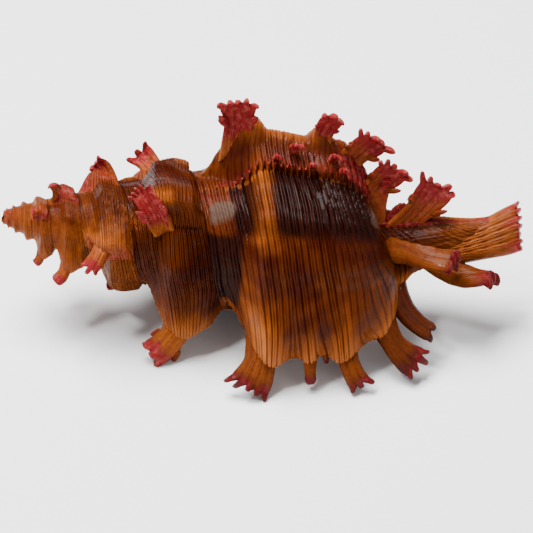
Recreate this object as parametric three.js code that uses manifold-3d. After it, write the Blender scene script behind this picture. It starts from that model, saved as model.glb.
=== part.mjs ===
// Murex shell, one solid: a right-handed coiled spire, a swollen last whorl with three
// frilled ridges to the turn, a recurved canal, an oval mouth, and branched fronds.
// Millimetres, +Z up. The shell lies mouth down on frond tips, its spire towards -X.
import * as THREE from "three";
import { mergeVertices } from "three/addons/utils/BufferGeometryUtils.js";
import Module from "manifold-3d";

const wasm = await Module();
wasm.setup();

// ---- driving dimensions ----
const LENGTH = 104.5; // apex to canal tip, along the coiling axis
const SEAM = 47; // axial place of the upper seam where the lip ends
const SEAM_R = 14.2; // radius there
const WHORL = 1.55; // growth of axial size in one turn
const SLENDER = 0.75; // radius grows as axial size to this power
const SHOULDER = 0.27; // swelling below the seam, as a share of the radius
const TURNS = 6; // whorls that are modelled before the pointed apex
const LIP = -82; // bearing of the lip about the axis, degrees
const RIDGE = 4.2; // height of a ridge on the last whorl
const RIDGE_BACK = 38; // degrees that a ridge takes to rise
const RIDGE_FRONT = 20; // degrees from its crest to its scalloped front edge
const NECK = 84; // axial place where the canal begins
const NECK_R = 5.0; // canal radius there
const CANAL_R = 3.2; // canal radius at its end
const RECURVE = 8.0; // sideways rise of the canal tip
const RECURVE_AT = 60; // bearing of that rise
const TILT = 1.2; // rise of the apex
const TILT_FROM = 32; // axial place where that rise ends
const MOUTH = { s: 64, r: 13.5, half: 11, wide: 6.0, turn: 165 }; // the mouth's throat
const PITCH = 4.5; // degrees that the spire is raised at rest
const ROLL = 39; // degrees from the modelling bearing to the resting one
const FLOOR = -19.05; // height of the resting plane below the axis
// growth, in degrees back from the lip, of each ridge's crest
const CRESTS = [20, 147, 258, 362, 466, 575, 684, 786, 899, 1009, 1096, 1224, 1334, 1439, 1544];

const COLS = 36; // steps round one turn
const BANDS = [0, 0.12, 0.26, 0.42, 0.62, 0.82]; // seam to seam
const STEPS = 8; // rows from the last seam line to the neck
const CANAL_STEPS = 5; // rows down the canal

// ---- small helpers ----
const rad = (d) => (d * Math.PI) / 180;
const clamp = (x, a, b) => Math.min(b, Math.max(a, x));
const ease = (x) => {
  const t = clamp(x, 0, 1);
  return t * t * (3 - 2 * t);
};
const seamAt = (g) => SEAM * WHORL ** (-g / 360);

// centre line of the shell: straight, recurved along the canal and a little raised at the apex
function axisAt(s) {
  const up = RECURVE * Math.max(0, (s - 80) / (LENGTH - 80)) ** 1.5;
  const raised = TILT * Math.max(0, 1 - s / TILT_FROM) ** 1.5;
  return [up * Math.cos(rad(RECURVE_AT)), up * Math.sin(rad(RECURVE_AT)) + raised];
}

// a point at axial place s, bearing a and distance r from the centre line;
// bearing 0 faces -Y and bearing 90 faces +Z
function at(s, a, r) {
  const [cy, cz] = axisAt(s);
  return new THREE.Vector3(s, -cy - r * Math.cos(rad(a)), cz + r * Math.sin(rad(a)));
}

// where the shoulder starts to rise: close to the seam at a ridge, well below it just
// after one, so that the bare part of the whorl before shows between two ridges
function shoulderStart(g) {
  const after = CRESTS.find((c) => c > g + 0.01) ?? g + 360;
  const before = [...CRESTS].reverse().find((c) => c <= g + 0.01) ?? CRESTS[0] - 110;
  const [a, b] = [after - g, g - before];
  return 0.12 + 0.28 * ease(a / RIDGE_FRONT) * (b / (a + b)) ** 0.7;
}

// radius of the skin where growth is g degrees back from the lip
function skin(g, s) {
  const f = (s / seamAt(g) - 1) / (WHORL - 1);
  const plain = SEAM_R * (s / SEAM) ** SLENDER;
  const start = shoulderStart(g);
  const hump = ease((f - start) / 0.2) * (1 - 0.9 * ease((f - 0.42) / 0.6));
  const size = (s / 60) ** SLENDER;
  let ridge = 0;
  for (const crest of CRESTS) {
    const d = g - crest;
    if (d >= 0 && d < RIDGE_BACK) ridge = Math.max(ridge, ease(1 - d / RIDGE_BACK) ** 1.2);
    if (d < 0 && d >= -RIDGE_FRONT)
      ridge = Math.max(ridge, 0.35 + 0.65 * Math.cos((d / RIDGE_FRONT) * 1.57));
    const knob = (d + 54) / 13; // one low knob half way to the next ridge
    if (Math.abs(knob) < 1) ridge = Math.max(ridge, 0.3 * ease(1 - Math.abs(knob)) * hump);
  }
  let full = 1;
  if (g <= 360) {
    const end = 83 - 0.045 * g - 0.00006 * g * g;
    const run = 18 * (1 - 0.27 * (g / 360) ** 2);
    const t = clamp((s - end + run) / run, 0, 1);
    full = Math.sqrt(Math.max(0, 1 - t ** 2));
  }
  const body = plain * (1 + SHOULDER * hump);
  const tube = NECK_R + (CANAL_R - NECK_R) * ease((s - NECK) / (LENGTH - NECK));
  const neck = Math.min(tube, 0.6 * body);
  const lift = RIDGE * size * ridge * ease((f - start + 0.08) / 0.16) * (0.25 + 0.75 * full);
  const seam = g > 330 ? 1 - ease((f - 0.84) / 0.16) : 1; // ridges sink at the seam below
  return neck + (body - neck) * full + lift * seam * (s > NECK ? Math.max(0, 1 - (s - NECK) / 8) : 1);
}

// ---- solids ----
function solid(points, faces) {
  const g = new THREE.BufferGeometry();
  g.setAttribute("position", new THREE.Float32BufferAttribute(points.flatMap((p) => [...p]), 3));
  g.setIndex(faces.flat());
  const m = mergeVertices(g, 1e-4);
  const pos = m.attributes.position.array;
  const idx = Array.from(m.index.array);
  const tri = [];
  let vol = 0;
  for (let i = 0; i < idx.length; i += 3) {
    const [a, b, c] = [idx[i], idx[i + 1], idx[i + 2]];
    if (a === b || b === c || a === c) continue;
    tri.push(a, b, c);
    const [p, q, r] = [a, b, c].map((k) => new THREE.Vector3().fromArray(pos, 3 * k));
    vol += p.dot(q.cross(r));
  }
  if (vol < 0) for (let i = 0; i < tri.length; i += 3) [tri[i], tri[i + 1]] = [tri[i + 1], tri[i]];
  return new wasm.Manifold(
    new wasm.Mesh({ numProp: 3, vertProperties: new Float32Array(pos), triVerts: new Uint32Array(tri) }),
  );
}

// a closed tube through rings of equal count
function tube(rings) {
  const n = rings[0].length;
  const points = rings.flat();
  const faces = [];
  for (let k = 0; k + 1 < rings.length; k++)
    for (let i = 0; i < n; i++) {
      const [a, b] = [k * n + i, k * n + ((i + 1) % n)];
      faces.push([a, b, b + n], [a, b + n, a + n]);
    }
  for (const k of [0, rings.length - 1]) {
    const mid = rings[k].reduce((p, q) => p.add(q), new THREE.Vector3()).divideScalar(n);
    points.push(mid);
    for (let i = 0; i < n; i++) {
      const [a, b] = [k * n + i, k * n + ((i + 1) % n)];
      faces.push(k ? [a, b, points.length - 1] : [b, a, points.length - 1]);
    }
  }
  return solid(points, faces);
}

// the coiled body: rows run along the growth, and each whorl's last row is the seam
// that the next whorl starts from
function coil() {
  const points = [];
  const place = new Map();
  const put = (key, p) => {
    place.set(key, points.length);
    points.push(p);
  };
  const last = COLS * TURNS;
  for (let i = 0; i <= last; i++)
    BANDS.forEach((f, j) => {
      const g = (360 * i) / COLS;
      const s = seamAt(g) * (1 + f * (WHORL - 1));
      put(`${i},${j}`, at(s, LIP + g, skin(g, s)));
    });
  const rows = STEPS + CANAL_STEPS;
  for (let i = 0; i <= COLS; i++)
    for (let k = i === COLS ? 1 : 0; k <= rows; k++) {
      const g = (360 * i) / COLS;
      const from = seamAt(g) * WHORL;
      const s =
        k <= STEPS
          ? from + (NECK - from) * (k / STEPS) ** (0.75 + 0.25 * (i / COLS))
          : NECK + (LENGTH - 1.2 - NECK) * ((k - STEPS) / CANAL_STEPS);
      put(`${i}+${k}`, k >= STEPS && i === COLS ? points[place.get(`0+${k}`)] : at(s, LIP + g, skin(g, s)));
    }
  const body = (i, j) => {
    if (j < BANDS.length) return place.get(`${i},${j}`);
    return i >= COLS ? place.get(`${i - COLS},0`) : place.get(`${i}+0`);
  };
  const skirt = (i, k) => (i === COLS && k === 0 ? place.get("0,0") : place.get(`${i}+${k}`));
  const faces = [];
  const quad = (a, b, c, d) => faces.push([a, b, c], [a, c, d]);
  for (let i = 0; i < last; i++)
    for (let j = 0; j < BANDS.length; j++)
      quad(body(i, j), body(i + 1, j), body(i + 1, j + 1), body(i, j + 1));
  for (let i = 0; i < COLS; i++)
    for (let k = 0; k < rows; k++)
      quad(skirt(i, k), skirt(i + 1, k), skirt(i + 1, k + 1), skirt(i, k + 1));
  // the pointed apex
  const rim = BANDS.map((_, j) => body(last, j));
  for (let i = last - COLS; i < last; i++) rim.push(body(i, 0));
  points.push(new THREE.Vector3(0.3, 0, 0));
  rim.forEach((v, i) => faces.push([v, points.length - 1, rim[(i + 1) % rim.length]]));
  // the canal's end
  const tip = LENGTH;
  const [cy, cz] = axisAt(tip);
  points.push(new THREE.Vector3(tip, -cy, cz));
  for (let i = 0; i < COLS; i++) faces.push([skirt(i, rows), skirt(i + 1, rows), points.length - 1]);
  // the flat front between the lip and the whorl before it
  for (let j = 1; j < BANDS.length; j++) faces.push([body(0, 0), body(0, j), body(0, j + 1)]);
  for (let k = 0; k < STEPS; k++) quad(skirt(COLS, k), skirt(0, k), skirt(0, k + 1), skirt(COLS, k + 1));
  return solid(points, faces);
}

// the mouth's throat: an oval that winds back into the last whorl and narrows
function throat() {
  const rings = [];
  const steps = 12;
  for (let k = 0; k <= steps; k++) {
    const g = -22 + ((MOUTH.turn + 22) * k) / steps;
    const size = WHORL ** (-Math.max(0, g) / 360);
    const shut = Math.sqrt(1 - (0.97 * k / steps) ** 3);
    const ring = [];
    for (let i = 0; i < 14; i++) {
      const t = (i / 14) * 2 * Math.PI;
      const s = MOUTH.s * size + MOUTH.half * size * shut * Math.cos(t);
      const r = MOUTH.r * size ** SLENDER + MOUTH.wide * size * shut * Math.sin(t);
      ring.push(at(s, LIP + g, r));
    }
    rings.push(ring);
  }
  return tube(rings);
}

// a frond: a blade, broad at its root, drawn out to a stem and spread at its tip into
// lobes; its hollow side faces the way the shell grows
function frond({ s, a, ds = 0, r, da = -5, wide, stem, tip, lobes, lobe = 2.2, thick = 1.7, root }) {
  const base = at(s, a, Math.max(1, root - 2));
  const knee = at(s + 0.25 * ds, a + 0.3 * da, root + 0.5 * (r - root));
  const end = at(s + ds, a + da, r - 0.6 * lobe);
  const path = new THREE.QuadraticBezierCurve3(base, knee, end);
  const rings = [];
  const stations = [0, 0.3, 0.65, 1];
  const frame = (u) => {
    const t = path.getTangent(u);
    const b = new THREE.Vector3(1, 0, 0).addScaledVector(t, -t.x).normalize();
    return [path.getPoint(u), t, b, new THREE.Vector3().crossVectors(t, b)];
  };
  for (const u of stations) {
    const [p, , b, n] = frame(u);
    const w = (stem + (wide - stem) * (1 - ease(u / 0.55)) + (tip - stem) * ease((u - 0.45) / 0.55)) / 2;
    const h = (thick * (1.5 - 0.8 * u)) / 2;
    const ring = [];
    for (let i = 0; i < 6; i++) {
      const v = (i / 6) * 2 * Math.PI;
      const x = w * Math.cos(v);
      ring.push(
        p.clone().addScaledVector(b, x).addScaledVector(n, h * Math.sin(v) - 0.2 * w * (x / w) ** 2),
      );
    }
    rings.push(ring);
  }
  let out = tube(rings);
  const [p, t, b, n] = frame(1);
  const count = Math.min(lobes, 3);
  for (let k = 0; lobes > 1 && k < count; k++) {
    const side = (2 * k) / (count - 1) - 1;
    const dir = t.clone().addScaledVector(b, 0.6 * side).normalize();
    const across = new THREE.Vector3().crossVectors(n, dir);
    const from = p.clone().addScaledVector(b, side * 0.36 * tip).addScaledVector(dir, -1.2);
    const w = (0.5 * tip) / count;
    const foot = [0, 1, 2].map((i) => {
      const v = (i / 3) * 2 * Math.PI + 1.57;
      return from
        .clone()
        .addScaledVector(across, 1.3 * w * Math.cos(v))
        .addScaledVector(n, 0.45 * thick * Math.sin(v));
    });
    const point = from.clone().addScaledVector(dir, lobe + 1.6);
    out = out.add(solid([...foot, point], [[0, 2, 1], [0, 1, 3], [1, 2, 3], [2, 0, 3]]));
  }
  return out;
}

// ---- the fronds of each ridge ----
// s, ds: axial place of the root and how far the tip is carried along; r: reach of the tip;
// wide, stem, tip: widths; lobes: branches at the tip
const LAST = [
  { s: 55.4, ds: -2.4, r: 32.6, wide: 9, stem: 6.4, tip: 8.4, lobes: 5, lobe: 2.8 },
  { s: 64.5, ds: 0.4, r: 30, wide: 4.2, stem: 2.6, tip: 2.2, lobes: 1 },
  { s: 67.4, ds: 0.4, r: 25.6, wide: 2, stem: 1.3, tip: 0.9, lobes: 1 },
  { s: 71.3, ds: 2.9, r: 31, wide: 7, stem: 4, tip: 4.6, lobes: 3 },
  { s: 78.8, ds: 6.8, r: 26.2, wide: 6.4, stem: 4.6, tip: 6.4, lobes: 4, lobe: 2.6 },
  { s: 81.2, ds: 6.6, r: 19.6, wide: 5.4, stem: 4.8, tip: 4.8, lobes: 2, lobe: 1.6 },
];
const SECOND = [
  { s: 47.6, ds: -0.9, r: 31.3, wide: 8, stem: 5.8, tip: 7.6, lobes: 6, lobe: 2.8 },
  { s: 63.8, ds: 1.8, r: 29.6, wide: 6.4, stem: 3.8, tip: 4.8, lobes: 3, lobe: 2.6 },
  { s: 68.2, ds: 6.6, r: 24.6, wide: 7, stem: 5.4, tip: 7.2, lobes: 5, lobe: 3 },
  { s: 73.4, ds: 6, r: 18.2, wide: 5.6, stem: 5, tip: 7, lobes: 5, lobe: 2.8 },
  { s: 77, ds: 0.8, r: 15.4, wide: 3.6, stem: 2.4, tip: 2.2, lobes: 1 },
  { s: 81.6, ds: 7, r: 13.2, wide: 6, stem: 5.2, tip: 7.8, lobes: 6, lobe: 2.8 },
];
const THIRD = [
  { s: 41.5, ds: -1, r: 29.8, da: 4, wide: 9, stem: 6, tip: 7.6, lobes: 5 },
  { s: 53, ds: 0.6, r: 28.2, da: 4, wide: 5, stem: 3.2, tip: 3.4, lobes: 2 },
  { s: 60, ds: 3, r: 27.1, da: 4, wide: 6.8, stem: 4.4, tip: 5.6, lobes: 4 },
  { s: 64.5, ds: 7, r: 24.4, da: 4, wide: 6.8, stem: 4.4, tip: 5.8, lobes: 4 },
  { s: 70, ds: 8, r: 18, da: 2, wide: 5.4, stem: 4, tip: 5, lobes: 4 },
];
// older ridges show only the shoulder frond: how far its tip reaches, and its lobes
const SPIRE = [
  [25.4, 3], [20, 5], [19.8, 3], [13.5, 1], [15.4, 3], [13.2, 3], [12, 3], [12.2, 1], [9.2, 1],
  [8.4, 1], [8.8, 1], [6.4, 1],
];

// how far down its whorl such a frond stands, where it isn't 1.24 times the seam's place
const DOWN = { 0: 1.29, 2: 1.38, 3: 1.36, 5: 1.42, 8: 1.2 };
// the second of them is a leaf that stands up from the side
const LEAF = { s: 34.2, a: 5, da: 19, ds: -5, r: 18.4, wide: 4.6, stem: 4.8, tip: 5.2, lobes: 5, lobe: 1.6, thick: 2 };

const crestBearing = (n) => LIP + CRESTS[n];
let shell = coil();
[LAST, SECOND, THIRD].forEach((row, n) => {
  for (const f of row) {
    const root = skin(CRESTS[n] - 2, f.s);
    shell = shell.add(frond({ a: crestBearing(n) - 2, root, ...f }));
  }
});
SPIRE.forEach(([r, lobes], k) => {
  const g = CRESTS[k + 3];
  const s = seamAt(g) * (DOWN[k] ?? 1.24);
  const size = (s / 39) ** 0.85;
  const spec = {
    s, a: LIP + g - 2, ds: (k === 0 ? -0.135 : -0.11) * s, da: k === 4 ? -16 : -4, r, root: skin(g, s), lobes,
    wide: 10.5 * size, stem: 5.6 * size, tip: 6 * size, lobe: 2 * size, thick: 2.4 * size + 0.2,
  };
  shell = shell.add(frond(k === 1 ? { ...LEAF, root: skin(g, LEAF.s) - 0.8 } : spec));
});
// the canal's own fronds: the fan at its end, the fork below it, the hollow frond that lies
// over the neck, and a small one under the neck
const CANAL = [
  { s: 91, a: -90, da: 0, ds: 14.6, r: 1.5, root: 3, wide: 7, stem: 6, tip: 9.6, lobes: 7, lobe: 1, thick: 5.2 },
  { s: 88, a: -76, da: 0, ds: 13.2, r: 10, wide: 5.4, stem: 4.4, tip: 8, lobes: 3, lobe: 2.4, root: 2.6, thick: 3 },
  { s: 79.5, a: -4, da: -22, ds: 12.2, r: 10.4, wide: 6, stem: 4.2, tip: 7, lobes: 5, lobe: 1.6, root: 5.5, thick: 3 },
  { s: 80, a: -118, da: 0, ds: 2.6, r: 10.5, wide: 4, stem: 3, tip: 3, lobes: 2, root: 5 },
];
for (const f of CANAL) shell = shell.add(frond(f));
shell = shell.subtract(throat());

// ---- laid down at rest: rolled to its resting bearing, spire raised, worn flat below ----
const rest = new THREE.Matrix4()
  .makeTranslation(0, 0, -FLOOR)
  .multiply(new THREE.Matrix4().makeRotationY(rad(PITCH)))
  .multiply(new THREE.Matrix4().makeRotationX(rad(-ROLL)))
  .multiply(new THREE.Matrix4().makeTranslation(-55, 0, 0));

function toGeometry(m) {
  const mesh = m.getMesh();
  const g = new THREE.BufferGeometry();
  const xyz = [];
  for (let i = 0; i < mesh.vertProperties.length; i += mesh.numProp)
    xyz.push(...mesh.vertProperties.slice(i, i + 3));
  g.setAttribute("position", new THREE.Float32BufferAttribute(xyz, 3));
  g.setIndex(Array.from(mesh.triVerts));
  return g;
}

const laid = toGeometry(shell).applyMatrix4(rest);
const whole = solid(
  Array.from({ length: laid.attributes.position.count }, (_, i) =>
    new THREE.Vector3().fromBufferAttribute(laid.attributes.position, i),
  ),
  [Array.from(laid.index.array)],
);
const floor = new THREE.BoxGeometry(200, 200, 40).translate(0, 0, -20);
floor.deleteAttribute("normal");
floor.deleteAttribute("uv");
const slab = mergeVertices(floor);
const worn = whole.subtract(
  new wasm.Manifold(
    new wasm.Mesh({
      numProp: 3,
      vertProperties: slab.attributes.position.array,
      triVerts: new Uint32Array(slab.index.array),
    }),
  ),
);
const box = worn.boundingBox();
const geometry = toGeometry(worn).translate(
  -(box.min[0] + box.max[0]) / 2,
  -(box.min[1] + box.max[1]) / 2,
  -box.min[2],
);
const mesh = new THREE.Mesh(
  geometry,
  new THREE.MeshStandardMaterial({ color: 0xa8602a, roughness: 0.4, metalness: 0 }),
);
mesh.name = "shell";
const part = new THREE.Group();
part.name = "murex_shell";
part.add(mesh);
export default part;
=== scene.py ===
"""Murex shell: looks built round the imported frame, laid out as an add-on.

All shapes come from one rule. Growth g is counted in degrees back from the lip, s is the place
along the coiling axis and r the distance from it, in millimetres. Growth and place give the
skin's radius, and each piece is a grid over two such parameters.
"""

import bmesh
import bpy
import numpy as np
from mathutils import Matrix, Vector


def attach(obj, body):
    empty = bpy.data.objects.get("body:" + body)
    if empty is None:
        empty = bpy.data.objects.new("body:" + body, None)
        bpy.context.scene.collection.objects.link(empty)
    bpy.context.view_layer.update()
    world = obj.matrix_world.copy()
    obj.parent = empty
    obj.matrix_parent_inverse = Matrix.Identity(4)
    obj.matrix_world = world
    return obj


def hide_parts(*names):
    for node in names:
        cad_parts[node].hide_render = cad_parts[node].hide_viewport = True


bl_info = {
    "name": "Murex shell",
    "version": (1, 0, 0),
    "blender": (4, 5, 0),
    "location": "View3D > Sidebar > Murex",
    "description": "Coiled, ridged and frilled sea shell with its stage",
    "category": "Add Mesh",
}

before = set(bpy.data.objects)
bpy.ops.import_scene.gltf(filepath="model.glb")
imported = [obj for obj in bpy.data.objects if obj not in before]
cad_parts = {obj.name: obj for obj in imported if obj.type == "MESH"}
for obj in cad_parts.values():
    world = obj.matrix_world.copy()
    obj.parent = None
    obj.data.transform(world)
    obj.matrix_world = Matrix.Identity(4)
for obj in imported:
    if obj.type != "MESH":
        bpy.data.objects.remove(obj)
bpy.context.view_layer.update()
MM = 0.001

# ---- growth of the shell, as the part's source has it (mm, degrees) ----
LENGTH = 104.5  # apex to canal end
SEAM, SEAM_R = 47.0, 14.2  # place and radius of the upper seam at the lip
WHORL, SLENDER = 1.55, 0.75  # growth in one turn, and how the radius follows the place
SHOULDER, LIP = 0.27, -82.0  # swelling of the shoulder; bearing of the lip
RIDGE, RIDGE_BACK, RIDGE_FRONT = 4.2, 38.0, 20.0  # height, and reach along the growth
NECK, NECK_R, CANAL_R = 84.0, 5.0, 3.2
RECURVE, RECURVE_AT, RECURVE_FROM = 8.0, 60.0, 80.0  # rise of the canal, its bearing and start
MOUTH_S, MOUTH_R, MOUTH_HALF, MOUTH_WIDE, MOUTH_TURN = 64.0, 13.5, 11.0, 6.0, 165.0
MIDDLE, PITCH, ROLL, FLOOR, WORN = 55.0, 4.5, 39.0, -19.05, 0.02  # how the shell lies
TILT, TILT_FROM = 1.2, 32.0  # rise of the apex, and where it starts
CENTRING = (0.32556, 2.08118)
CRESTS = np.array(
    [20, 147, 258, 362, 466, 575, 684, 786, 899, 1009, 1096, 1224, 1334, 1439, 1544.0]
)
CORDS = 18  # cords down a whorl
STEP = 54.0  # growth from a ridge's crest to the low step ahead of it

NO_FACES = np.zeros((0, 4), int)


# ---- helpers ----
def ease(x):
    """0 to 1 with flat ends: 3x^2 - 2x^3 of x held in 0..1."""
    t = np.clip(x, 0.0, 1.0)
    return t * t * (3 - 2 * t)


def between(x, low, high, rise, fall=None):
    """1 between low and high, easing to 0 at both ends over rise and fall."""
    return ease((x - low) / rise) * ease((high - x) / (fall or rise))


def bell(x, width):
    """exp(-(x / width)^2)."""
    return np.exp(-((x / width) ** 2))


def chance(k):
    """A fixed scatter in 0..1 for whole number k: the fraction of sin(12.9898 k + 4.1) * 43758."""
    return np.modf(np.abs(np.sin(np.asarray(k, float) * 12.9898 + 4.1) * 43758.5453))[0]


def ripple(x, y, seed=0.0):
    """Soft unevenness in -1..1: the mean of five sine waves that cross at odd angles."""
    total = 0.0
    for k in range(5):
        c, t = 0.7 + 0.55 * k, 1.3 * k + seed
        total = total + np.sin(c * (x * np.cos(t) + y * np.sin(t)) + 2.1 * k + seed)
    return total / 5


def unit(v):
    """Vectors of length 1 along v."""
    return v / np.maximum(np.linalg.norm(v, axis=-1, keepdims=True), 1e-9)


def seam_at(g):
    """Axial place of the upper seam: SEAM * WHORL^(-g / 360)."""
    return SEAM * WHORL ** (-np.asarray(g, float) / 360)


def share_down(g, s):
    """Share of the whorl's height at place s: 0 at its upper seam, 1 at the next seam."""
    return (s / seam_at(g) - 1) / (WHORL - 1)


def place_at(g, f):
    """Place of share f down the whorl, the other way round."""
    return seam_at(g) * (1 + f * (WHORL - 1))


def place(s, a, r):
    """Point at place s, bearing a and distance r from the centre line, which rises along the
    canal and a little towards the apex."""
    s, a, r = np.broadcast_arrays(np.asarray(s, float), np.radians(a), np.asarray(r, float))
    up = RECURVE * np.maximum(0, (s - RECURVE_FROM) / (LENGTH - RECURVE_FROM)) ** 1.5
    cy, cz = up * np.cos(np.radians(RECURVE_AT)), up * np.sin(np.radians(RECURVE_AT))
    cz = cz + TILT * np.maximum(0, 1 - s / TILT_FROM) ** 1.5
    return np.stack([s, -cy - r * np.cos(a), cz + r * np.sin(a)], -1)


def turned(a, b, angle):
    """Coordinates a and b after a turn by angle in degrees."""
    c, d = np.cos(np.radians(angle)), np.sin(np.radians(angle))
    return c * a + d * b, c * b - d * a


def laid(points):
    """Points at rest in metres: rolled, pitched, set on the floor and worn flat at it."""
    p = np.asarray(points, float) - [MIDDLE, 0, 0]
    y, z = turned(p[..., 1], p[..., 2], ROLL)
    x, z = turned(p[..., 0], z, PITCH)
    lifted = np.maximum(z - FLOOR, WORN)
    return np.stack([x + CENTRING[0], y + CENTRING[1], lifted], -1) * MM


# ---- the skin ----
def start_of_shoulder(g):
    """Share of the whorl's height where the shoulder starts: near the seam at a ridge, well below
    it just after one."""
    i = np.searchsorted(CRESTS, g + 0.01, side="right")
    older = np.where(i < len(CRESTS), CRESTS[np.minimum(i, len(CRESTS) - 1)], g + 360)
    younger = np.where(i > 0, CRESTS[np.maximum(i - 1, 0)], CRESTS[0] - 110)
    a, b = older - g, g - younger
    return 0.12 + 0.28 * ease(a / RIDGE_FRONT) * (b / (a + b)) ** 0.7


def ridges(g, f, hump):
    """Share of the ridges' height: a slow rise behind each crest, a steep front toothed by
    cos(2 pi CORDS f), and a low growth step ahead of it."""
    ridge = np.zeros(g.shape)
    for crest in CRESTS:
        d = g - crest
        back = np.where((d >= 0) & (d < RIDGE_BACK), ease(1 - d / RIDGE_BACK) ** 1.2, 0)
        teeth = RIDGE_FRONT + 1.6 * np.cos(2 * np.pi * CORDS * f) * (crest > 30)
        foot = 0.35 if crest < 300 else 0.16
        fall = np.cos(np.minimum(-d / RIDGE_FRONT, 1) * 1.57)
        front = np.where((d < 0) & (d >= -teeth), foot + (1 - foot) * fall, 0)
        step = 0.3 * ease((d + STEP) / 13 + 1) * ease(1 - (d + STEP) / 13) * hump
        ridge = np.maximum.reduce([ridge, back, front, step * (np.abs(d + STEP) < 13)])
    return ridge


def skin(g, s, flared=False):
    """Radius of the bare skin at growth g and place s. The body swells below the shoulder, rises
    at each ridge, narrows into the neck and ends as the canal's tube. Where flared it also sweeps
    up behind each frond: height * run along g * exp(-|offset / width|^2.4) along s."""
    g, s = np.broadcast_arrays(np.asarray(g, float), np.asarray(s, float))
    f = share_down(g, s)
    start = start_of_shoulder(g)
    waist = ease((f - 0.42) / 0.6) * np.where(g > 360, 1.0, 0.9)
    hump = ease((f - start) / 0.2) * (1 - waist)
    end = 83 - 0.045 * g - 0.00006 * g * g
    run = 18 * (1 - 0.27 * (g / 360) ** 2)
    t = np.clip((s - end + run) / np.where(g <= 360, run, 1), 0, 1)
    full = np.where(g <= 360, np.sqrt(np.maximum(0, 1 - t**2)), 1.0)
    body = SEAM_R * (s / SEAM) ** SLENDER * (1 + SHOULDER * hump)
    tube = NECK_R + (CANAL_R - NECK_R) * ease((s - NECK) / (LENGTH - NECK))
    neck = np.minimum(tube, 0.6 * body)
    lift = RIDGE * (s / 60) ** SLENDER * ridges(g, f, hump)
    lift = lift * ease((f - start + 0.08) / 0.16) * (0.25 + 0.75 * full)
    lift = lift * np.where(s > NECK, np.maximum(0, 1 - (s - NECK) / 8), 1)
    lift = lift * np.where(g > 330, 1 - ease((f - 0.84) / 0.16), 1)
    bare = neck + (body - neck) * full + lift
    if not flared:
        return bare
    sweep = np.zeros(g.shape)
    for crest, axial, width, height in flares():
        d = g - crest + 2
        along = sweep_run(d, 27, 2.3) * (np.abs(d) < 30)
        across = np.exp(-np.abs((s - axial) / width) ** 2.4)
        sweep = np.maximum(sweep, height * along * across)
    return bare + sweep


def sweep_run(d, length, power):
    """Run of a sweep along the growth, d degrees behind the frond: (1 - d / length)^power."""
    behind = np.clip(1 - (d - 2.5) / length, 0, 1) ** power
    return np.where(d > 2.5, behind, ease(1 + (d + 2.5) / 6))


# low webs between fronds: growth of the crest, place, half width, height
WEBS = [
    (531.0, 37.0, 4.0, 2.6),
    (549.0, 26.2, 2.6, 1.6),
    (147.0, 56.0, 7.0, 1.5),
    (147.0, 66.0, 4.5, 1.6),
    (147.0, 76.5, 5.5, 1.9),
    (258.0, 48.0, 6.0, 1.2),
]
FLARES = []


def flares():
    """Growth, place, half width and height of every sweep, listed once."""
    if FLARES:
        return FLARES
    for n, fronds in enumerate((FIRST_ROW, SECOND_ROW, THIRD_ROW)):
        for spec in fronds:
            rise = spec["r"] - float(skin(CRESTS[n] - 2, spec["s"]))
            at = spec["s"] + spec.get("foot", 0)
            FLARES.append((CRESTS[n], at, 0.42 * spec["wide"], min(0.42 * rise, 4.2)))
    FLARES.extend(WEBS)
    for k, (reach, _) in enumerate(SPIRE_ROW):
        g, s = spire_root(k)
        FLARES.append((g, s, 4.3 * (s / 39) ** 0.85, 0.42 * (reach - float(skin(g, s)))))
    return FLARES


def sweep_share(g, s):
    """How far up the sweep behind a frond each point lies, 0 to 1."""
    share = np.zeros(np.broadcast(g, s).shape)
    for crest, axial, width, height in flares():
        d = g - crest + 2
        along = sweep_run(d, 22, 1.5) * (np.abs(d) < 30)
        share = np.maximum(share, along * bell(s - axial, width) * min(1.0, height / 2.0))
    return share


def swept(g, s):
    """Place with the cords drawn together at each frond: s + 0.62 * offset * bell * run."""
    pull = np.zeros(np.broadcast(g, s).shape)
    for crest, axial, width, height in flares():
        d = g - crest + 2
        run = np.where(d > 0, np.clip(1 - d / 34, 0, 1) ** 1.6, ease(1 + d / 9))
        run = run * (np.abs(d) < 34) * min(1.0, height / 2.5)
        pull = pull + 0.62 * (s - axial) * bell(s - axial, 1.8 * width) * run
    return s + pull


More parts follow.
